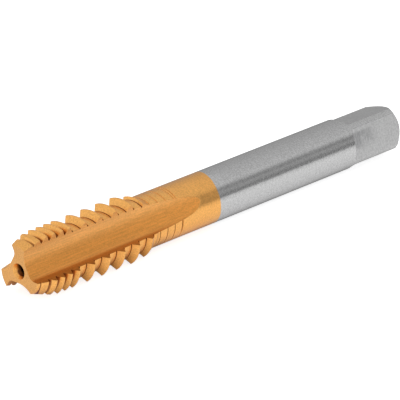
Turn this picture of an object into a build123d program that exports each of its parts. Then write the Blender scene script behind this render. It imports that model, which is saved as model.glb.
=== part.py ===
"""Straight-flute machine tap with an interrupted thread, for a 10 mm coarse right-hand thread.

One solid bar of high-speed steel. The axis lies along X, the cutting end points to -X and the
drive square ends at the origin. +Z is up: the tap lies on its shank with one land on top.
"""
from math import acos, ceil, cos, degrees, radians, sin, tan
import os

from build123d import *

# Thread, in millimetres and degrees
thread_diameter = 10.0
pitch = 1.5
flank_angle = 60.0
thread_depth = 1.1
root_flat = 0.04
thread_length = 24.0
back_chamfer_angle = 23.0
first_crest_at = 0.886

# Lead taper at the cutting end, backed off behind each cutting edge by an off-centre cone
front_diameter = 8.0
lead_angle = 19.5
lead_relief_offset = 0.5

# Interrupted teeth: past the lead every second tooth along the helix is ground down to a stump
interrupted_from = 8.6
stump_height = 0.18
stump_span_angle = 80.0

# Lands and flutes
flute_count = 3
land_angle = 40.0
land_turn = 1.0
core_diameter = 3.64
core_taper_angle = 1.7
rake_angle = 6.0
hook_radius = 1.0
heel_radius = 3.5
taper_length = 16.0
flute_wheel_radius = 126.0

# The ring where the thread grinding wheel stops on the neck
last_groove_at = 29.2

# Shank and drive square
overall_length = 77.5
shank_diameter = 8.0
square_width = 6.3
square_length = 10.0
square_turn = 12.5
square_runout_radius = 1.0
end_chamfer = 1.0

# Centre hole in the cutting end
centre_hole_mouth = 2.4
centre_hole_pilot = 1.25
centre_hole_angle = 60.0
centre_hole_depth = 2.4
drill_point_angle = 118.0

# How far a cutter's body runs past the surface that it cuts
overrun = 1.0
groove_overrun = 0.05

thread_radius = thread_diameter / 2
root_radius = thread_radius - thread_depth
stump_radius = root_radius + stump_height
shank_radius = shank_diameter / 2
front_radius = front_diameter / 2
core_radius = core_diameter / 2
flute_step = 360.0 / flute_count
tooth_step = pitch / flute_count


def turned_blank():
    """The turned bar: thread cylinder, back chamfer, neck, shank and end chamfer."""
    back_length = (thread_radius - shank_radius) / tan(radians(back_chamfer_angle))
    outline = Polyline(
        (0, 0),
        (0, thread_radius),
        (thread_length - back_length, thread_radius),
        (thread_length, shank_radius),
        (overall_length - end_chamfer, shank_radius),
        (overall_length, shank_radius - end_chamfer),
        (overall_length, 0),
        close=True,
    )
    return revolve(make_face(outline), Axis.X)


def lead_cutters():
    """The lead taper of each land, turned about an axis set off towards its cutting edge."""
    slope = tan(radians(lead_angle))
    reach = thread_radius + overrun
    cone_radius = front_radius - lead_relief_offset * sin(radians(land_angle / 2))
    section = Plane.XZ * make_face(
        Polyline(
            (-overrun, cone_radius - overrun * slope),
            ((reach - cone_radius) / slope, reach),
            (-overrun, reach),
            close=True,
        )
    )
    sector = Rot(-flute_step / 2, 0, 0) * revolve(section, Axis.X, flute_step)
    cutter = Pos(0, lead_relief_offset, 0) * sector
    return [Rot(land * flute_step - land_turn, 0, 0) * cutter for land in range(flute_count)]


def groove_section(at):
    """The V of the thread groove, in the XZ plane, open just past the thread's crest."""
    reach = thread_radius + groove_overrun
    half_root = root_flat / 2
    half_mouth = half_root + (reach - root_radius) * tan(radians(flank_angle / 2))
    outline = Polyline(
        (at - half_root, root_radius),
        (at + half_root, root_radius),
        (at + half_mouth, reach),
        (at - half_mouth, reach),
        close=True,
    )
    return Plane.XZ * make_face(outline)


def along_helix(section, start, length):
    """Sweep a section that stands over the axis along the thread's right-hand helix."""
    helix = Helix(pitch, length, root_radius, center=(start, 0, 0), direction=(1, 0, 0))
    return sweep(section, path=helix, is_frenet=True)


def thread_grooves():
    """The helical groove turn by turn, each starting in the lower flute, and its closing ring."""
    first = first_crest_at - ceil((first_crest_at + overrun) / pitch) * pitch
    turns = int((last_groove_at - first) / pitch)
    last = first + turns * pitch
    full_turn = along_helix(groove_section(0), 0, pitch)
    part_turn = along_helix(groove_section(0), 0, last_groove_at - last)
    full_turns = [Pos(first + turn * pitch, 0, 0) * Rot(180, 0, 0) * full_turn for turn in range(turns)]
    part_turn = Pos(last, 0, 0) * Rot(180, 0, 0) * part_turn
    ring = revolve(groove_section(last_groove_at), Axis.X)
    return full_turns, part_turn, ring


def stump_cutters():
    """One cutter for each ground-off tooth, on its own land and its own turn of the helix."""
    reach = thread_radius + overrun
    section = Plane.XZ * Pos(0, (stump_radius + reach) / 2) * Rectangle(pitch, reach - stump_radius)
    span_length = pitch * stump_span_angle / 360
    cutter = along_helix(section, 0, span_length)
    cutters = []
    tooth_count = ceil((thread_length - first_crest_at) / tooth_step)
    for tooth in range(tooth_count):
        crest_at = first_crest_at + tooth * tooth_step
        if crest_at > interrupted_from and tooth % 2 == 0:
            place = Pos(crest_at - span_length / 2, 0, 0)
            turn = Rot(tooth * flute_step - stump_span_angle / 2, 0, 0)
            cutters.append(place * turn * cutter)
    return cutters


def flute_section():
    """A flute's outline about +Z: hooked rake face, rounded foot, web and long curved heel."""
    half_angle = radians((flute_step - land_angle) / 2)
    lean = half_angle - radians(rake_angle)
    edge = thread_radius * cos(half_angle)
    reach = thread_radius + overrun
    rake_foot = (edge - core_radius) * tan(lean) - thread_radius * sin(half_angle)
    rake_top = rake_foot - (reach - core_radius) * tan(lean)
    outline = Polyline(
        (rake_foot, core_radius),
        (rake_top, reach),
        (reach * tan(half_angle), reach),
        (core_radius * tan(half_angle), core_radius),
        close=True,
    )
    section = make_face(outline)
    foot, heel = section.vertices().group_by(Axis.Y)[0].sort_by(Axis.X)
    section = fillet(heel, heel_radius)
    foot = section.vertices().group_by(Axis.Y)[0].sort_by(Axis.X)[0]
    return fillet(foot, hook_radius)


def flute_cutters():
    """Flutes that rise with the core taper, then run out on the arc of the grinding wheel."""
    section = Plane.YZ * flute_section()
    straight = extrude(Pos(-overrun, 0, 0) * section, amount=overrun + taper_length)
    wheel_turn = degrees(acos(1 - (shank_radius + overrun - core_radius) / flute_wheel_radius))
    wheel_axis = Axis((taper_length, 0, core_radius + flute_wheel_radius), (0, -1, 0))
    runout = revolve(Pos(taper_length, 0, 0) * section, wheel_axis, wheel_turn)
    taper = Pos(0, 0, core_radius) * Rot(0, -core_taper_angle, 0) * Pos(0, 0, -core_radius)
    cutter = taper * (straight + runout)
    return [Rot((flute + 0.5) * flute_step - land_turn, 0, 0) * cutter for flute in range(flute_count)]


def square_cutters():
    """The four flats of the drive square, each with the cutter's round run-out at the shank."""
    half_width = square_width / 2
    reach = shank_radius + overrun
    start = overall_length - square_length - square_runout_radius
    outline = make_face(
        Polyline(
            (start, half_width),
            (start, reach),
            (overall_length + overrun, reach),
            (overall_length + overrun, half_width),
            close=True,
        )
    )
    corner = outline.vertices().group_by(Axis.X)[0].sort_by(Axis.Y)[0]
    section = Plane.XZ * fillet(corner, square_runout_radius)
    cutter = extrude(section, amount=reach, both=True)
    return [Rot(90 * side - square_turn, 0, 0) * cutter for side in range(4)]


def centre_hole():
    """The 60 degree centre hole and its pilot drilling in the cutting end."""
    mouth = centre_hole_mouth / 2
    pilot = centre_hole_pilot / 2
    cone_depth = (mouth - pilot) / tan(radians(centre_hole_angle / 2))
    point_depth = pilot / tan(radians(drill_point_angle / 2))
    outline = Polyline(
        (0, 0),
        (0, mouth),
        (cone_depth, pilot),
        (centre_hole_depth, pilot),
        (centre_hole_depth + point_depth, 0),
        close=True,
    )
    return revolve(make_face(outline), Axis.X)


def thread_tap():
    """The finished tap, with its drive end at the origin. Flutes are cut ahead of the thread."""
    tap = turned_blank()
    for lead in lead_cutters():
        tap = tap.cut(lead)
    for flute in flute_cutters():
        tap = tap.cut(flute)
    full_turns, part_turn, ring = thread_grooves()
    tap = tap.cut(*full_turns).cut(part_turn).cut(ring)
    tap = tap.cut(*stump_cutters())
    tap = tap.cut(*square_cutters(), centre_hole())
    return Pos(-overall_length, 0, 0) * tap


if __name__ == "__main__":
    os.makedirs("parts", exist_ok=True)
    export_step(thread_tap(), "parts/tap.step")
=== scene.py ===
"""Looks of a coated straight-flute machine tap: the coating, the ground steel and the stage.

Every size is in metres in the tap's own frame: X runs along the axis to the drive end at the
origin, and +Z is up. Angles round the axis are measured from the -Y side towards +Z.
"""

from math import cos, pi, radians, sin

import bmesh
import bpy
from mathutils import Matrix, Vector


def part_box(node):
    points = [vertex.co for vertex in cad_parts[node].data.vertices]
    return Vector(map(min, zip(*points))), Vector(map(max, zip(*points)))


bl_info = {
    "name": "Machine tap looks",
    "version": (1, 0, 0),
    "blender": (4, 5, 0),
    "location": "3D View > Sidebar > Machine Tap",
    "description": "Finishes a coated straight-flute machine tap and sets its studio stage",
    "category": "Object",
}

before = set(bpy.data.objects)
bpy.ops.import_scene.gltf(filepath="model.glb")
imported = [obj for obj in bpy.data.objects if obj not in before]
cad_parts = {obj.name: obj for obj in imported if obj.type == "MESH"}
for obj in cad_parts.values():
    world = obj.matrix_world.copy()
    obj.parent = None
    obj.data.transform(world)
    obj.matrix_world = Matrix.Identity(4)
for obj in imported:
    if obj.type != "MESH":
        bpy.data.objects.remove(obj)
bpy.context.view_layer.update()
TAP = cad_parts["tap"]
TIP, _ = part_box("tap")
MM = 0.001
# Places along the tap's axis, in millimetres from the drive end
FRONT = TIP.x / MM
FULL_DEPTH_FROM = FRONT + 2.82
LAST_LEAD_TOOTH = FRONT + 8.6
THREAD_END = -53.5
LAST_RING = -48.3
BARE_SHANK = -30.5
SQUARE_START = -11.0
# Radii and depths, in millimetres
SHANK_RADIUS = 4.0
HOLE_RADIUS = 1.1
FRONT_DEPTH = 0.1
THREAD_DEPTH = 1.1
WIDE_GROOVE_DEPTH = 0.17
NARROW_GROOVE_DEPTH = 0.085
# Angle of the first flute's middle, and half the angle from one flute to the next
FLUTE_MIDDLE = radians(31)
HALF_FLUTE_PITCH = pi / 3
# Sizes of the marks on the metal, in millimetres
GRAIN = 0.25
PATCH = 2.9
ROUND_LINE_LENGTH = 4.5
FLUTE_LINE_LENGTH = 16.0
MILLED_LINE_LENGTH = 4.0
# Depth of those marks, radius of the eased edges and reach of the corners' shade, in millimetres
MARK_DEPTH = 0.012
EASED_EDGE = 0.08
CORNER_REACH = 0.9
# How much the marks break up the gloss, and the roughness of the thread's run-out
GLOSS_SPREAD = 0.16
RUN_OUT_ROUGHNESS = 0.6
# Sideways play of the coating's edge, in millimetres
WAVER = 0.16
# Painted shade, in brown, in the thread, each as its values on the upper and on the low side:
# where its first groove starts behind the tip, in millimetres, the share of the lead's flanks that
# it climbs, and its strength in the rings on the neck. The low side, which less light reaches,
# gets more of it.
FIRST_GROOVE = (1.1, 0.45)
SHADE_CLIMB = (0.38, 0.51)
RING_SHADE = (0.0, 0.9)
# Strength of the painted shade, in brown, on the lead's flanks and in the corners
FLANK_SHADE = 0.75
CORNER_SHADE = 0.8
# Half width of the painted shadow on the mirrored floor, from its open side to its darkest part,
# and the stretch of the neck where the one gives way to the other, in millimetres
DARK_BY_SHANK = (3.5, 0.85)
DARK_BY_TEETH = (5.2, 1.5)
DARK_CHANGES = (-46, -54)
DARK_PAST_TIP = 4
PAINTED_SHADOW_LEVEL = 0.02
# Where painted shade dims the mirrored floor beside the tap, in millimetres, and the share it keeps
DIM_BESIDE = (14, 45)
DIM_SHARE = 0.78
# Lean towards the drive end at which the main light's edge starts and ends
MAIN_EDGE = (0.6, 0.32)
# Near edge of the grey card on the floor, from the tip and from the axis, in millimetres
CARD_EDGE = (6.0, 4.2)
CARD_HEIGHT = 0.05
# Corners and height of the white strip over the cutting end, in millimetres
STRIP_LOW = (-80, -14)
STRIP_HIGH = (-20, 42)
STRIP_HEIGHT = 25
# The point on the axis that the camera looks at, and the shift of its view, in millimetres
AIM = -40.0
SHIFT_RIGHT = 0.5235
SHIFT_UP = 0.311
# A map range with soft ends. Its inputs are 0 for the value, and 1 and 2 for where it starts and
# ends. The inputs of a mix are 0 for the share, 2 and 3 for numbers, and 6 and 7 for colours.
SMOOTH = {"interpolation_type": "SMOOTHSTEP"}
# Brightness of the overhead diffuser by the angle round the tap, from its near side over the top
DIFFUSER_LEVELS = (
    (0, 0.24),
    (13, 0.32),
    (25, 0.55),
    (38, 0.30),
    (46, 0.50),
    (55, 0.81),
    (72, 0.75),
    (96, 0.69),
    (132, 0.63),
    (180, 0.62),
)


def linear(code):
    """Turns an sRGB hex colour into linear red, green and blue."""
    shares = [int(code[at : at + 2], 16) / 255 for at in (1, 3, 5)]
    return [s / 12.92 if s <= 0.04045 else ((s + 0.055) / 1.055) ** 2.4 for s in shares]


def node(tree, kind, sockets=None, **settings):
    """Adds a shader node, sets it up, and fills its inputs with values, nodes or their outputs."""
    made = tree.nodes.new("ShaderNode" + kind)
    for name, value in settings.items():
        setattr(made, name, value)
    for key, value in (sockets or {}).items():
        if isinstance(value, bpy.types.Node):
            value = next(output for output in value.outputs if output.enabled)
        if isinstance(value, bpy.types.NodeSocket):
            tree.links.new(value, made.inputs[key])
        elif made.inputs[key].type == "RGBA":
            made.inputs[key].default_value = (*value, 1)
        else:
            made.inputs[key].default_value = value
    return made


def new_tree(name):
    """A new material with an empty node tree."""
    material = bpy.data.materials.new(name)
    material.use_nodes = True
    material.node_tree.nodes.clear()
    return material, material.node_tree


class TapFinishSettings(bpy.types.PropertyGroup):
    """Sizes and colours of the tap's surfaces."""

    coating_length: bpy.props.FloatProperty(
        name="Coated length",
        description="How far the coating reaches from the cutting end, on the axis",
        default=37.68 * MM,
        unit="LENGTH",
    )
    coating_tilt: bpy.props.FloatProperty(
        name="Coating edge tilt",
        description="How far the coating's edge leans out of square with the axis",
        default=radians(9.4),
        subtype="ANGLE",
    )
    coating_tilt_side: bpy.props.FloatProperty(
        name="Side that the coating falls short on",
        description="Angle round the axis where the coating reaches least far",
        default=radians(20),
        subtype="ANGLE",
    )
    coating_colour: bpy.props.FloatVectorProperty(
        name="Coating colour",
        description="Titanium nitride on the cutting end",
        default=linear("#F2B15F"),
        subtype="COLOR",
    )
    # Painted shade: the flutes' gold is drawn darker than the thread's, as less light reaches them
    flute_shaded_colour: bpy.props.FloatVectorProperty(
        name="Flute colour",
        description="Titanium nitride over the coarser ground flutes",
        default=linear("#EDA34D"),
        subtype="COLOR",
    )
    # Painted light: a paler copy of the flutes' gold on the open wall of each flute
    flute_painted_light_colour: bpy.props.FloatVectorProperty(
        name="Flute light side",
        description="Paler coating on the open wall of each flute",
        default=linear("#F3BC72"),
        subtype="COLOR",
    )
    # Painted shade: a browner copy of the flutes' gold on the shut wall of each flute
    flute_painted_shade_colour: bpy.props.FloatVectorProperty(
        name="Flute dark side",
        description="Browner coating on the shut wall of each flute",
        default=linear("#AC7230"),
        subtype="COLOR",
    )
    # Painted shade: a darker, paler copy of the coating that tones down the lit end face
    face_shaded_colour: bpy.props.FloatVectorProperty(
        name="End face colour",
        description="Paler coating on the flat face of the cutting end",
        default=linear("#D79E5B"),
        subtype="COLOR",
    )
    oil_film: bpy.props.FloatProperty(
        name="Oil film",
        description="Weight of the thin film of preserving oil over the whole tap",
        default=0.3,
        min=0.0,
        max=1.0,
        subtype="FACTOR",
    )
    edge_tint: bpy.props.FloatVectorProperty(
        name="Edge tint",
        description="Share of the light that the metal keeps where it is seen edge on",
        default=(0.67, 0.67, 0.67),
        subtype="COLOR",
    )
    # Painted shade in the roots, tight corners and lead flanks, partly the coating's browner tint
    root_shade_colour: bpy.props.FloatVectorProperty(
        name="Root colour",
        description="Brown of the coating down in the thread's roots",
        default=linear("#73351A"),
        subtype="COLOR",
    )
    root_radius: bpy.props.FloatProperty(
        name="Root radius",
        description="Distance of the thread's roots from the axis",
        default=3.9 * MM,
        unit="LENGTH",
    )
    # Painted shade: dark brown down in the centre hole, where little light reaches
    bore_shade_colour: bpy.props.FloatVectorProperty(
        name="Centre hole colour",
        description="Dull steel inside the centre hole, where the coating thins out",
        default=linear("#5A3A14"),
        subtype="COLOR",
    )
    steel_colour: bpy.props.FloatVectorProperty(
        name="Steel colour",
        description="Bare ground high-speed steel",
        default=linear("#C1C1C1"),
        subtype="COLOR",
    )
    smudge_colour: bpy.props.FloatVectorProperty(
        name="Milled flat colour",
        description="Darker cutter marks on the flats of the drive square",
        default=linear("#9B9B9C"),
        subtype="COLOR",
    )
    coating_roughness: bpy.props.FloatProperty(
        name="Coating roughness",
        description="Roughness of the coated thread and neck",
        default=0.22,
        min=0.0,
        max=1.0,
        subtype="FACTOR",
    )
    flute_roughness: bpy.props.FloatProperty(
        name="Flute roughness",
        description="Roughness of the coated flutes",
        default=0.44,
        min=0.0,
        max=1.0,
        subtype="FACTOR",
    )
    steel_roughness: bpy.props.FloatProperty(
        name="Shank roughness",
        description="Roughness of the bare shank",
        default=0.13,
        min=0.0,
        max=1.0,
        subtype="FACTOR",
    )
    flat_roughness: bpy.props.FloatProperty(
        name="Flat roughness",
        description="Roughness of the drive square's flats",
        default=0.27,
        min=0.0,
        max=1.0,
        subtype="FACTOR",
    )
    grinding_line: bpy.props.FloatProperty(
        name="Grinding line spacing",
        description="Spacing of the lines left by the grinding wheel",
        default=0.19 * MM,
        unit="LENGTH",
    )
    milling_line: bpy.props.FloatProperty(
        name="Milling line spacing",
        description="Spacing of the cutter marks across the drive square's flats",
        default=0.35 * MM,
        unit="LENGTH",
    )


class TapStageSettings(bpy.types.PropertyGroup):
    """The floor, the light and the camera."""

    floor_colour: bpy.props.FloatVectorProperty(
        name="Floor colour",
        description="Paper floor under the tap",
        default=linear("#CECECE"),
        subtype="COLOR",
    )
    floor_size: bpy.props.FloatProperty(
        name="Floor size",
        description="Side of the square floor",
        default=6.0,
        unit="LENGTH",
    )
    seen_lift: bpy.props.FloatProperty(
        name="Floor lift",
        description="How far the floor is lifted to white where the camera sees it",
        default=0.8,
        min=0.0,
        max=1.0,
        subtype="FACTOR",
    )
    mirrored_lift: bpy.props.FloatProperty(
        name="Mirrored floor lift",
        description="How far the floor is lifted to white where the metal mirrors it",
        default=0.59,
        min=0.0,
        max=1.0,
        subtype="FACTOR",
    )
    card_level: bpy.props.FloatProperty(
        name="Grey card level",
        description="Brightness of the grey card behind the tap",
        default=0.42,
        min=0.0,
        max=1.0,
        subtype="FACTOR",
    )
    strip_level: bpy.props.FloatProperty(
        name="White strip level",
        description="Brightness of the white strip over the cutting end",
        default=0.82,
        min=0.0,
        max=1.0,
        subtype="FACTOR",
    )
    main_level: bpy.props.FloatProperty(
        name="Main light level",
        description="Brightness of the main diffuser, over the cutting end",
        default=0.97,
        min=0.0,
        max=1.0,
        subtype="FACTOR",
    )
    camera_azimuth: bpy.props.FloatProperty(
        name="Camera azimuth",
        description="Turn of the camera from the tap's near side towards its cutting end",
        default=radians(45.828),
        subtype="ANGLE",
    )
    camera_elevation: bpy.props.FloatProperty(
        name="Camera elevation",
        description="Height angle of the camera over the floor",
        default=radians(22.763),
        subtype="ANGLE",
    )
    camera_distance: bpy.props.FloatProperty(
        name="Camera distance",
        description="Distance from the camera to the middle of the tap",
        default=604.34 * MM,
        unit="LENGTH",
    )
    camera_lens: bpy.props.FloatProperty(
        name="Camera lens",
        description="Focal length in millimetres for a 36 mm sensor",
        default=369.63,
        unit="CAMERA",
    )


class TAP_OT_finish_tap(bpy.types.Operator):
    """Give the tap its coated cutting end and its bare ground shank"""

    bl_idname = "machine_tap.finish_tap"
    bl_label = "Finish the tap"

    def execute(self, context):
        finish = context.scene.tap_finish
        material = coated_steel(finish)
        TAP.data.materials.clear()
        TAP.data.materials.append(material)
        return {"FINISHED"}


class TAP_OT_set_stage(bpy.types.Operator):
    """Set the floor, the lights and the camera"""

    bl_idname = "machine_tap.set_stage"
    bl_label = "Set the stage"

    def execute(self, context):
        stage = context.scene.tap_stage
        lay_floor(stage)
        lay_card(stage)
        hang_strip(stage)
        light_stage(stage)
        place_camera(context.scene, stage)
        return {"FINISHED"}


class TAP_PT_panel(bpy.types.Panel):
    """Steps that finish the tap"""

    bl_label = "Machine Tap"
    bl_space_type = "VIEW_3D"
    bl_region_type = "UI"
    bl_category = "Machine Tap"

    def draw(self, context):
        layout = self.layout
        for operator in OPERATORS:
            layout.operator(operator.bl_idname)
        for group in (context.scene.tap_finish, context.scene.tap_stage):
            for name in group.__annotations__:
                layout.prop(group, name)


def place_on_tap(tree):
    """Where each point lies on the tap, in millimetres, and how its surface faces."""
    place = node(tree, "TexCoord")
    at = node(tree, "VectorMath", {0: place.outputs["Object"], "Scale": 1 / MM}, operation="SCALE")
    parts = node(tree, "SeparateXYZ", {0: at})
    across = node(tree, "VectorMath", {0: at, 1: (0, 1, 1)}, operation="MULTIPLY")
    outward = node(tree, "VectorMath", {0: across}, operation="NORMALIZE")
    facing = place.outputs["Normal"]
    axial = node(tree, "SeparateXYZ", {0: facing})
    along = parts.outputs["X"]
    bare_ends = {1: BARE_SHANK + 0.5, 2: BARE_SHANK - 0.5}
    return {
        "at": at,
        "along": along,
        "aside": parts.outputs["Y"],
        "height": parts.outputs["Z"],
        "radius": node(tree, "VectorMath", {0: across}, operation="LENGTH"),
        "radial": node(tree, "VectorMath", {0: outward, 1: facing}, operation="DOT_PRODUCT"),
        "slope": node(tree, "Math", {0: axial, 1: axial}, operation="MULTIPLY"),
        "cutting_end": node(tree, "MapRange", {0: along, **bare_ends}, **SMOOTH),
    }


def coated_length(tree, spot, finish):
    """Share of the coating. Its edge is a plane that leans a little, with a slight waver."""
    lean = sin(finish.coating_tilt)
    side = finish.coating_tilt_side
    edge_axis = (1, -lean * cos(side), lean * sin(side))
    edge_at = (TIP.x + finish.coating_length) / MM
    # The edge moves by up to half of the play each way, in waves of about a millimetre
    waver = node(tree, "TexNoise", {"Vector": spot["at"], "Scale": 0.9, "Detail": 2.0})
    past = node(tree, "VectorMath", {0: spot["at"], 1: edge_axis}, operation="DOT_PRODUCT")
    wavy = node(tree, "Math", {0: waver, 1: WAVER, 2: past}, operation="MULTIPLY_ADD")
    return node(tree, "MapRange", {0: wavy, 1: edge_at + 0.13, 2: edge_at + 0.03}, **SMOOTH)


def ground_flutes(tree, spot, finish):
    """Share of the flutes, whose walls face sideways and whose bottoms lie deep in the tap."""
    radial = spot["radial"]
    slope = spot["slope"]
    root_at = finish.root_radius / MM
    # The thread, the neck and the shank are turned, and their normals have no sideways part
    turned = node(tree, "Math", {0: radial, 1: radial, 2: slope}, operation="MULTIPLY_ADD")
    walls = node(tree, "MapRange", {0: turned, 1: 0.985, 2: 0.93}, **SMOOTH)
    # Behind the last ring the flutes reach up to the neck's surface
    behind_rings = node(
        tree, "MapRange", {0: spot["along"], 1: LAST_RING - 0.06, 2: LAST_RING + 0.04}, **SMOOTH
    )
    deepest = {2: root_at - 0.02, 3: root_at + NARROW_GROOVE_DEPTH}
    depth_at = node(tree, "Mix", {0: behind_rings, **deepest})
    deep = node(tree, "Math", {0: spot["radius"], 1: depth_at}, operation="LESS_THAN")
    # The lead's cone and the end faces lie deep too, but they slope
    sloped = node(tree, "MapRange", {0: slope, 1: 0.04, 2: 0.08}, **SMOOTH)
    bottoms = node(tree, "Math", {0: deep, 1: sloped}, operation="SUBTRACT", use_clamp=True)
    cut = node(tree, "Math", {0: walls, 1: bottoms}, operation="MAXIMUM")
    return node(tree, "Math", {0: cut, 1: spot["cutting_end"]}, operation="MULTIPLY")


def painted_flank_shade(tree, spot, finish, low_side):
    """Share of the painted brown shade on the lead's flanks, up to half of their height."""
    tooth_depth = node(
        tree,
        "MapRange",
        {0: spot["along"], 1: FRONT, 2: FULL_DEPTH_FROM, 3: FRONT_DEPTH, 4: THREAD_DEPTH},
    )
    root_at = finish.root_radius / MM
    risen = node(tree, "Math", {0: spot["radius"], 1: root_at}, operation="SUBTRACT")
    risen_share = node(tree, "Math", {0: risen, 1: tooth_depth}, operation="DIVIDE")
    shade_climb_share = node(tree, "Mix", {0: low_side, 2: SHADE_CLIMB[0], 3: SHADE_CLIMB[1]})
    over_brown = node(tree, "Math", {0: risen_share, 1: shade_climb_share}, operation="SUBTRACT")
    low = node(tree, "MapRange", {0: over_brown, 1: 0.06, 2: -0.06}, **SMOOTH)
    steep = node(tree, "MapRange", {0: spot["slope"], 1: 0.45, 2: 0.65}, **SMOOTH)
    low_flank = node(tree, "Math", {0: low, 1: steep}, operation="MULTIPLY")
    first_ends = {1: FRONT + 1.7, 2: FRONT + 1.9}
    behind_first = node(tree, "MapRange", {0: spot["along"], **first_ends}, **SMOOTH)
    darkened_flank = node(tree, "Math", {0: low_flank, 1: behind_first}, operation="MULTIPLY")
    return node(tree, "Math", {0: darkened_flank, 1: FLANK_SHADE}, operation="MULTIPLY")


def groove_bottoms(tree, spot, finish, fluted, thread):
    """Share of the thread's lowest parts. Its grooves are wider than the rings on the neck."""
    radius = spot["radius"]
    root_at = finish.root_radius / MM
    wide_ends = {1: root_at + WIDE_GROOVE_DEPTH, 2: root_at + 0.1}
    wide = node(tree, "MapRange", {0: radius, **wide_ends}, **SMOOTH)
    narrow_ends = {1: root_at + NARROW_GROOVE_DEPTH, 2: root_at + 0.04}
    narrow = node(tree, "MapRange", {0: radius, **narrow_ends}, **SMOOTH)
    low = node(tree, "Mix", {0: thread, 2: narrow, 3: wide})
    return node(tree, "Math", {0: low, 1: fluted}, operation="SUBTRACT", use_clamp=True)


def hemmed_in_corners(tree, lead):
    """Share of the corners that little light reaches, most of all in the lead's close grooves."""
    sampling = {"samples": 8, "only_local": True}
    open_sky = node(tree, "AmbientOcclusion", {"Distance": CORNER_REACH * MM}, **sampling)
    light = open_sky.outputs["AO"]
    in_lead = node(tree, "MapRange", {0: light, 1: 0.70, 2: 0.36}, **SMOOTH)
    in_thread = node(tree, "MapRange", {0: light, 1: 0.60, 2: 0.30}, **SMOOTH)
    return node(tree, "Mix", {0: lead, 2: in_thread, 3: in_lead})


def painted_thread_shade(tree, spot, finish, fluted):
    """Share of the painted brown shade in the thread's roots, the lead's flanks and tight corners.
    """
    along = spot["along"]
    low_side = node(tree, "MapRange", {0: spot["height"], 1: 0.5, 2: -0.5}, **SMOOTH)
    thread_ends = {1: THREAD_END + 0.1, 2: THREAD_END - 0.1}
    thread = node(tree, "MapRange", {0: along, **thread_ends}, **SMOOTH)
    lead_ends = {1: LAST_LEAD_TOOTH + 1.4, 2: LAST_LEAD_TOOTH - 0.1}
    lead = node(tree, "MapRange", {0: along, **lead_ends}, **SMOOTH)
    # The first groove starts further back on the upper side than on the low side
    first_groove = node(tree, "Mix", {0: low_side, 2: FIRST_GROOVE[0], 3: FIRST_GROOVE[1]})
    past_groove = node(tree, "Math", {0: along, 1: first_groove}, operation="SUBTRACT")
    behind_tip = node(tree, "MapRange", {0: past_groove, 1: FRONT, 2: FRONT + 0.15}, **SMOOTH)
    neck_ends = {1: LAST_RING + 0.02, 2: LAST_RING - 0.06}
    before_neck = node(tree, "MapRange", {0: along, **neck_ends}, **SMOOTH)
    grooved = node(tree, "Math", {0: behind_tip, 1: before_neck}, operation="MULTIPLY")

    low = groove_bottoms(tree, spot, finish, fluted, thread)
    bottoms = node(tree, "Math", {0: low, 1: grooved}, operation="MULTIPLY")
    # The corners that little light reaches get painted shade
    crowded = hemmed_in_corners(tree, lead)
    behind = node(tree, "Math", {0: crowded, 1: behind_tip}, operation="MULTIPLY")
    corners = node(tree, "Math", {0: behind, 1: CORNER_SHADE}, operation="MULTIPLY")
    flanks = painted_flank_shade(tree, spot, finish, low_side)
    grooved_lead = node(tree, "Math", {0: grooved, 1: lead}, operation="MULTIPLY")
    lead_flanks = node(tree, "Math", {0: flanks, 1: grooved_lead}, operation="MULTIPLY")
    sides = node(tree, "Math", {0: corners, 1: lead_flanks}, operation="MAXIMUM")
    darkened = node(tree, "Math", {0: bottoms, 1: sides}, operation="MAXIMUM")
    # The rings on the neck get painted shade on the low side and stay gold on the upper side
    neck_share = node(tree, "Mix", {0: low_side, 2: RING_SHADE[0], 3: RING_SHADE[1]})
    share = node(tree, "Mix", {0: thread, 2: neck_share, 3: 1.0})
    return node(tree, "Math", {0: darkened, 1: share}, operation="MULTIPLY")


def square_flats(tree, spot, end_face):
    """Share of the drive square's flats, and of the worked patch near their inner ends."""
    along = spot["along"]
    height = spot["height"]
    square_ends = {1: SQUARE_START - 0.2, 2: SQUARE_START + 0.1}
    square_end = node(tree, "MapRange", {0: along, **square_ends}, **SMOOTH)
    inner_ends = {1: SHANK_RADIUS - 0.01, 2: SHANK_RADIUS - 0.04}
    inside = node(tree, "MapRange", {0: spot["radius"], **inner_ends}, **SMOOTH)
    low_face = node(tree, "Math", {0: square_end, 1: inside}, operation="MULTIPLY")
    flat = node(tree, "Math", {0: low_face, 1: end_face}, operation="SUBTRACT", use_clamp=True)
    run_in_ends = {1: SQUARE_START + 6.0, 2: SQUARE_START + 3.0}
    run_in = node(tree, "MapRange", {0: along, **run_in_ends}, **SMOOTH)
    above_middle = node(tree, "MapRange", {0: height, 1: -0.6, 2: 0.9}, **SMOOTH)
    below_edge = node(tree, "MapRange", {0: height, 1: 2.7, 2: 2.2}, **SMOOTH)
    upper_half = node(tree, "Math", {0: above_middle, 1: below_edge}, operation="MULTIPLY")
    patch = node(tree, "Math", {0: run_in, 1: upper_half}, operation="MULTIPLY")
    return flat, node(tree, "Math", {0: patch, 1: flat}, operation="MULTIPLY")


def centre_hole(tree, spot):
    """Share of the centre hole, the only part on the axis behind the tip's face."""
    hole_ends = {1: HOLE_RADIUS, 2: HOLE_RADIUS - 0.15}
    near_axis = node(tree, "MapRange", {0: spot["radius"], **hole_ends}, **SMOOTH)
    inside = node(tree, "MapRange", {0: spot["along"], 1: FRONT + 0.3, 2: FRONT + 0.9}, **SMOOTH)
    in_tip = node(tree, "Math", {0: inside, 1: spot["cutting_end"]}, operation="MULTIPLY")
    return node(tree, "Math", {0: near_axis, 1: in_tip}, operation="MULTIPLY")


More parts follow.
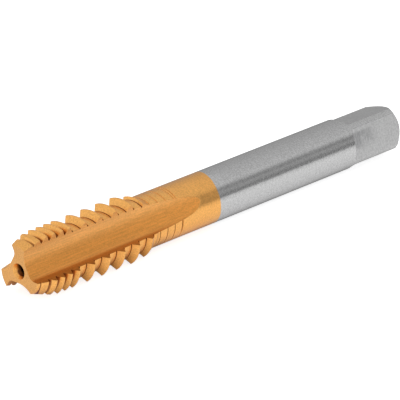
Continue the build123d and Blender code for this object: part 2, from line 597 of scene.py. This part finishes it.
def flute_side(tree, spot):
    """Distance across each flute, in millimetres from its middle towards its open wall."""
    near = node(tree, "Math", {0: spot["aside"], 1: -1.0}, operation="MULTIPLY")
    turn = node(tree, "Math", {0: spot["height"], 1: near}, operation="ARCTAN2")
    from_flute = node(tree, "Math", {0: turn, 1: FLUTE_MIDDLE}, operation="SUBTRACT")
    ends = {1: -HALF_FLUTE_PITCH, 2: HALF_FLUTE_PITCH}
    folded = node(tree, "Math", {0: from_flute, **ends}, operation="WRAP")
    sine = node(tree, "Math", {0: folded}, operation="SINE")
    return node(tree, "Math", {0: sine, 1: spot["radius"]}, operation="MULTIPLY")


def streaks(tree, at, size, detail, roughness):
    """Noise with marks of the given size, in millimetres along X, Y and Z."""
    stretched = node(tree, "VectorMath", {0: at, 1: size}, operation="DIVIDE")
    return node(
        tree,
        "TexNoise",
        {"Vector": stretched, "Scale": 1.0, "Detail": detail, "Roughness": roughness},
    )


def tool_marks(tree, at, finish, fluted, flat):
    """Lines of the grinding wheel and of the milling cutter, with the steel's grain among them.

    Real lines and grain are a few hundredths of a millimetre wide. They are drawn about five
    times as coarse, so that they show at all.
    """
    ground_line = finish.grinding_line / MM
    milled_line = finish.milling_line / MM
    round_size = (ground_line, ROUND_LINE_LENGTH, ROUND_LINE_LENGTH)
    flute_size = (FLUTE_LINE_LENGTH, ground_line, ground_line)
    milled_size = (milled_line, MILLED_LINE_LENGTH, MILLED_LINE_LENGTH)
    round_lines = streaks(tree, at, round_size, detail=3.0, roughness=0.6)
    flute_lines = streaks(tree, at, flute_size, detail=3.0, roughness=0.6)
    mill_lines = streaks(tree, at, milled_size, detail=3.0, roughness=0.6)
    grain = streaks(tree, at, (GRAIN, GRAIN, GRAIN), detail=3.0, roughness=0.75)
    ground = node(tree, "Mix", {0: fluted, 2: round_lines, 3: flute_lines})
    lines = node(tree, "Mix", {0: flat, 2: ground, 3: mill_lines})
    line_share = node(tree, "Mix", {0: fluted, 2: 0.2, 3: 0.5})
    return node(tree, "Mix", {0: line_share, 2: grain, 3: lines}), mill_lines


def bare_steel(tree, at, finish, mill_lines, worked):
    """Colour of the bare steel, with the cutter's darker marks in patches on the flats."""
    patches = streaks(tree, at, (PATCH, PATCH, PATCH), detail=2.0, roughness=0.5)
    marked = node(tree, "Math", {0: mill_lines, 1: patches}, operation="MULTIPLY")
    marks = node(tree, "MapRange", {0: marked, 1: 0.10, 2: 0.28}, **SMOOTH)
    smudge = node(tree, "Math", {0: marks, 1: worked}, operation="MULTIPLY")
    colours = {6: finish.steel_colour[:], 7: finish.smudge_colour[:]}
    return node(tree, "Mix", {0: smudge, **colours}, data_type="RGBA")


def coated_gold(tree, spot, finish, fluted, end_face):
    """Titanium nitride on the thread, flutes and end face, with painted light and shade."""
    side = flute_side(tree, spot)
    # Painted light on each flute's open wall and painted shade on its shut wall
    painted_light_wall = node(tree, "MapRange", {0: side, 1: -0.5, 2: 3.4}, **SMOOTH)
    painted_shade_wall = node(tree, "MapRange", {0: side, 1: -1.0, 2: -3.5}, **SMOOTH)
    colours = {6: finish.flute_shaded_colour[:], 7: finish.flute_painted_light_colour[:]}
    flute_with_painted_light = node(tree, "Mix", {0: painted_light_wall, **colours}, data_type="RGBA")
    colours = {6: flute_with_painted_light, 7: finish.flute_painted_shade_colour[:]}
    flute = node(tree, "Mix", {0: painted_shade_wall, **colours}, data_type="RGBA")
    # Painted shade: the end face takes a darker, paler copy of the coating
    colours = {6: finish.coating_colour[:], 7: finish.face_shaded_colour[:]}
    turned = node(tree, "Mix", {0: end_face, **colours}, data_type="RGBA")
    gold = node(tree, "Mix", {0: fluted, 6: turned, 7: flute}, data_type="RGBA")
    # Painted shade in brown in the thread's roots, its tight corners and the lead's flanks
    root = painted_thread_shade(tree, spot, finish, fluted)
    return node(tree, "Mix", {0: root, 6: gold, 7: finish.root_shade_colour[:]}, data_type="RGBA")


def satin_roughness(tree, spot, finish, coated, fluted, flat):
    """Roughness of each surface before the tool marks break it up."""
    # The thread's run-out is duller, where the grinding wheel was drawn away
    sloping = node(tree, "MapRange", {0: spot["slope"], 1: 0.02, 2: 0.1}, **SMOOTH)
    run_out_ends = {1: THREAD_END - 0.9, 2: THREAD_END - 0.7}
    behind = node(tree, "MapRange", {0: spot["along"], **run_out_ends}, **SMOOTH)
    run_out = node(tree, "Math", {0: sloping, 1: behind}, operation="MULTIPLY")
    dullness = {2: finish.coating_roughness, 3: RUN_OUT_ROUGHNESS}
    turned = node(tree, "Mix", {0: run_out, **dullness})
    satin = node(tree, "Mix", {0: fluted, 2: turned, 3: finish.flute_roughness})
    bare_levels = {2: finish.steel_roughness, 3: finish.flat_roughness}
    bare = node(tree, "Mix", {0: flat, **bare_levels})
    return node(tree, "Mix", {0: coated, 2: bare, 3: satin})


def coated_steel(finish):
    """Ground high-speed steel, vapour coated with titanium nitride over the cutting end.

    The coating is a few microns thick, so it shows the grinding lines of the steel below in a warm
    satin gold. Painted shade turns it brown down in the thread's roots and dark brown in the centre
    hole, and the flutes and the end face carry painted light and shade. The shank is a neutral
    satin grey with a fine grain, and the flats carry a milling cutter's marks.
    """
    material, tree = new_tree("titanium nitride coated ground high-speed steel")
    spot = place_on_tap(tree)
    coated = coated_length(tree, spot, finish)
    fluted = ground_flutes(tree, spot, finish)
    end_face = node(tree, "MapRange", {0: spot["slope"], 1: 0.85, 2: 0.95}, **SMOOTH)
    flat, worked = square_flats(tree, spot, end_face)
    mottle, mill_lines = tool_marks(tree, spot["at"], finish, fluted, flat)

    steel = bare_steel(tree, spot["at"], finish, mill_lines, worked)
    gold = coated_gold(tree, spot, finish, fluted, end_face)
    metal = node(tree, "Mix", {0: coated, 6: steel, 7: gold}, data_type="RGBA")
    # Painted shade: the centre hole is drawn dark brown
    colours = {6: metal, 7: finish.bore_shade_colour[:]}
    hole_shaded = node(tree, "Mix", {0: centre_hole(tree, spot), **colours}, data_type="RGBA")
    # The marks darken the metal by up to a fifth and lighten it by up to a tenth
    shade = node(tree, "MapRange", {0: mottle, 1: 0.35, 2: 0.65, 3: 0.82, 4: 1.1}, **SMOOTH)
    shaded = {"data_type": "RGBA", "blend_type": "MULTIPLY"}
    mean = satin_roughness(tree, spot, finish, coated, fluted, flat)
    gloss = {0: mottle, 1: GLOSS_SPREAD, 2: mean}
    # Every edge catches the light as if it were eased by less than a tenth of a millimetre
    eased = node(tree, "Bevel", {"Radius": EASED_EDGE * MM}, samples=4)
    relief = {"Strength": 0.5, "Distance": MARK_DEPTH * MM, "Height": mottle, "Normal": eased}
    surface = node(
        tree,
        "BsdfPrincipled",
        {
            "Base Color": node(tree, "Mix", {0: 1.0, 6: hole_shaded, 7: shade}, **shaded),
            "Metallic": 1.0,
            "Roughness": node(tree, "Math", gloss, operation="MULTIPLY_ADD"),
            "Specular Tint": finish.edge_tint[:],
            "Coat Weight": finish.oil_film,
            "Coat Roughness": 0.3,
            "Normal": node(tree, "Bump", relief),
        },
    )
    node(tree, "OutputMaterial", {"Surface": surface})
    return material


def mirrored_floor(tree, stage):
    """Floor that the metal mirrors, with a painted shadow under the tap and painted shade beside
    it.
    """
    place = node(tree, "TexCoord")
    at = node(tree, "SeparateXYZ", {0: place.outputs["Object"]})
    along = at.outputs["X"]
    aside = node(tree, "Math", {0: at.outputs["Y"]}, operation="ABSOLUTE")
    changes = {1: DARK_CHANGES[0] * MM, 2: DARK_CHANGES[1] * MM}
    by_thread = node(tree, "MapRange", {0: along, **changes}, **SMOOTH)
    shank_ends = {1: DARK_BY_SHANK[0] * MM, 2: DARK_BY_SHANK[1] * MM}
    by_shank = node(tree, "MapRange", {0: aside, **shank_ends}, **SMOOTH)
    teeth_ends = {1: DARK_BY_TEETH[0] * MM, 2: DARK_BY_TEETH[1] * MM}
    by_teeth = node(tree, "MapRange", {0: aside, **teeth_ends}, **SMOOTH)
    beside = node(tree, "Mix", {0: by_thread, 2: by_shank, 3: by_teeth})
    tip_ends = {1: TIP.x, 2: TIP.x + DARK_PAST_TIP * MM}
    past_tip = node(tree, "MapRange", {0: along, **tip_ends}, **SMOOTH)
    # The painted shadow under the tap, which shows only in the metal
    under = node(tree, "Math", {0: beside, 1: past_tip}, operation="MULTIPLY")
    dim_ends = {1: DIM_BESIDE[0] * MM, 2: DIM_BESIDE[1] * MM}
    away = node(tree, "MapRange", {0: aside, **dim_ends}, **SMOOTH)
    levels = {2: stage.mirrored_lift, 3: DIM_SHARE * stage.mirrored_lift}
    open_level = node(tree, "Mix", {0: away, **levels})
    return node(tree, "Mix", {0: under, 2: open_level, 3: PAINTED_SHADOW_LEVEL})


def floor_paper(stage):
    """Matt white background paper: plain white to the eye and to the metal, with a soft shadow."""
    material, tree = new_tree("matt white background paper")
    path = node(tree, "LightPath")
    seen = path.outputs["Is Camera Ray"]
    mirrored = node(
        tree,
        "Math",
        {0: path.outputs["Is Glossy Ray"], 1: path.outputs["Is Transmission Ray"]},
        operation="MAXIMUM",
    )
    seen_lift = node(tree, "Math", {0: seen, 1: stage.seen_lift}, operation="MULTIPLY")
    lifts = {0: mirrored, 1: mirrored_floor(tree, stage), 2: seen_lift}
    lift = node(tree, "Math", lifts, operation="MULTIPLY_ADD")
    paper = node(tree, "BsdfDiffuse", {"Color": stage.floor_colour[:]})
    glow = node(tree, "Emission", {"Color": (1, 1, 1), "Strength": lift})
    both = node(tree, "AddShader", {0: paper, 1: glow})
    node(tree, "OutputMaterial", {"Surface": both})
    return material


def studio_card(name, level):
    """Even studio card of one brightness."""
    material, tree = new_tree(name)
    glow = node(tree, "Emission", {"Color": (level, level, level), "Strength": 1.0})
    node(tree, "OutputMaterial", {"Surface": glow})
    return material


def flat_card(name, material, low, high, height):
    """A level card between two corners in X and Y that only shows mirrored in the metal."""
    mesh = bpy.data.meshes.new(name)
    shape = bmesh.new()
    bmesh.ops.create_grid(shape, x_segments=1, y_segments=1, size=0.5)
    bmesh.ops.scale(shape, verts=shape.verts, vec=(high[0] - low[0], high[1] - low[1], 1))
    middle = ((low[0] + high[0]) / 2, (low[1] + high[1]) / 2, height)
    bmesh.ops.translate(shape, verts=shape.verts, vec=middle)
    shape.to_mesh(mesh)
    shape.free()
    card = bpy.data.objects.new(name, mesh)
    bpy.context.scene.collection.objects.link(card)
    mesh.materials.append(material)
    card.visible_camera = False
    card.visible_diffuse = False
    card.visible_shadow = False


def lay_card(stage):
    """The grey card on the floor along the far side of the tap, where it stops a glare."""
    material = studio_card("dull grey studio card", stage.card_level)
    low = (TIP.x + CARD_EDGE[0] * MM, CARD_EDGE[1] * MM)
    high = [edge + stage.floor_size / 2 for edge in low]
    flat_card("grey_card", material, low, high, TIP.z + CARD_HEIGHT * MM)


def hang_strip(stage):
    """The white strip over the cutting end, which the top of the neck mirrors near the thread."""
    material = studio_card("white studio card", stage.strip_level)
    low = [edge * MM for edge in STRIP_LOW]
    high = [edge * MM for edge in STRIP_HIGH]
    flat_card("white_strip", material, low, high, STRIP_HEIGHT * MM)


def lay_floor(stage):
    """The paper floor, under the lowest point of the tap."""
    mesh = bpy.data.meshes.new("floor")
    shape = bmesh.new()
    bmesh.ops.create_grid(shape, x_segments=1, y_segments=1, size=stage.floor_size / 2)
    bmesh.ops.translate(shape, verts=shape.verts, vec=(TIP.x / 2, 0, TIP.z))
    shape.to_mesh(mesh)
    shape.free()
    floor = bpy.data.objects.new("floor", mesh)
    bpy.context.scene.collection.objects.link(floor)
    mesh.materials.append(floor_paper(stage))


def light_stage(stage):
    """Soft light from a long overhead diffuser that runs beside the tap, with a dim near side."""
    world = bpy.data.worlds.new("studio diffuser")
    bpy.context.scene.world = world
    world.use_nodes = True
    tree = world.node_tree
    tree.nodes.clear()
    place = node(tree, "TexCoord")
    toward = node(tree, "SeparateXYZ", {0: place.outputs["Generated"]})
    near = node(tree, "Math", {0: toward.outputs["Y"], 1: -1.0}, operation="MULTIPLY")
    turn = node(tree, "Math", {0: toward.outputs["Z"], 1: near}, operation="ARCTAN2")
    share = node(tree, "Math", {0: turn, 1: pi}, operation="DIVIDE")
    ramp = node(tree, "ValToRGB", {"Fac": share})
    stops = ramp.color_ramp.elements
    while len(stops) < len(DIFFUSER_LEVELS):
        stops.new(1.0)
    for stop, (angle, level) in zip(stops, DIFFUSER_LEVELS):
        stop.position = angle / 180
        stop.color = (level, level, level, 1)
    edge = {1: MAIN_EDGE[0], 2: MAIN_EDGE[1]}
    main_light = node(tree, "MapRange", {0: toward.outputs["X"], **edge}, **SMOOTH)
    level = stage.main_level
    lit = node(tree, "Mix", {0: main_light, 6: ramp, 7: (level, level, level)}, data_type="RGBA")
    soft = node(tree, "Background", {"Color": lit, "Strength": 1.0})
    node(tree, "OutputWorld", {"Surface": soft})


def place_camera(scene, stage):
    """A long lens that looks at the middle of the tap from its cutting end."""
    azimuth = stage.camera_azimuth
    elevation = stage.camera_elevation
    back = Vector((-sin(azimuth) * cos(elevation), -cos(azimuth) * cos(elevation), sin(elevation)))
    right = Vector((cos(azimuth), -sin(azimuth), 0))
    up = back.cross(right)
    aim = Vector((AIM, 0, 0)) * MM
    shift = right * SHIFT_RIGHT * MM + up * SHIFT_UP * MM
    spot = aim + back * stage.camera_distance - shift
    camera = bpy.data.cameras.new("camera")
    camera.lens = stage.camera_lens
    camera.sensor_width = 36
    camera.clip_start = 0.01
    camera.clip_end = 20
    placed = bpy.data.objects.new("camera", camera)
    placed.matrix_world = Matrix.Translation(spot) @ Matrix((right, up, back)).transposed().to_4x4()
    scene.collection.objects.link(placed)
    scene.camera = placed
    scene.view_settings.view_transform = "Standard"


OPERATORS = (TAP_OT_finish_tap, TAP_OT_set_stage)
CLASSES = (TapFinishSettings, TapStageSettings, *OPERATORS, TAP_PT_panel)


def register():
    """Registers the classes and their settings."""
    for cls in CLASSES:
        bpy.utils.register_class(cls)
    bpy.types.Scene.tap_finish = bpy.props.PointerProperty(type=TapFinishSettings)
    bpy.types.Scene.tap_stage = bpy.props.PointerProperty(type=TapStageSettings)


def unregister():
    """Takes the classes and their settings away again."""
    del bpy.types.Scene.tap_stage
    del bpy.types.Scene.tap_finish
    for cls in reversed(CLASSES):
        bpy.utils.unregister_class(cls)


def main():
    """Builds the looks and the stage."""
    register()
    bpy.ops.machine_tap.finish_tap()
    bpy.ops.machine_tap.set_stage()


if __name__ == "__main__":
    main()
